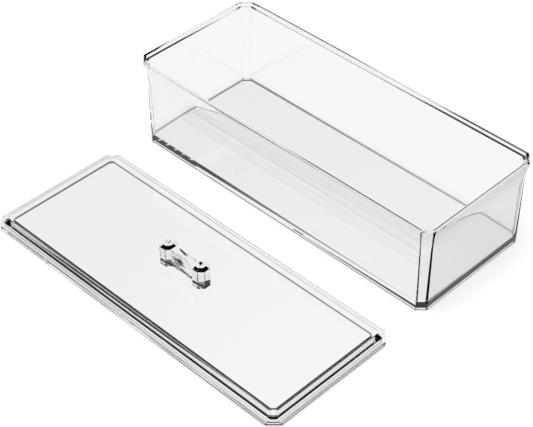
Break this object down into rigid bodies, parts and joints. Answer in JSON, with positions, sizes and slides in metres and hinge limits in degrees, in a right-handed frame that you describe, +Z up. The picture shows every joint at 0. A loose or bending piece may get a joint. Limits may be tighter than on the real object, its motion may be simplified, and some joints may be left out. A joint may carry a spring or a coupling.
{
  "type": "storage box with lid",
  "caption": "Clear octagonal storage tray with a rebated rim and a loose bevelled lid that carries a bar handle with two posts.",
  "frame": {"origin": "centre of the tray's underside, at the level of its foot ring and of the surface that the tray and the lid rest on", "axes": "+X along the tray, +Y from the lid towards the tray, +Z up"},
  "size_m": [0.23, 0.2089, 0.0602],
  "materials": {
    "tray": "clear polished acrylic",
    "lid_plate": "clear polished acrylic",
    "handle": "clear polished acrylic"
  },
  "bodies": {
    "tray": {"tray": "tray"},
    "lid": {"lid_plate": "lid_plate", "handle": "handle"}
  },
  "joints": [
    {"name": "lid_lift", "type": "slide", "parent": "tray", "child": "lid", "axis": [0, 0, 1], "range_m": [0, 0.075]}
  ]
}
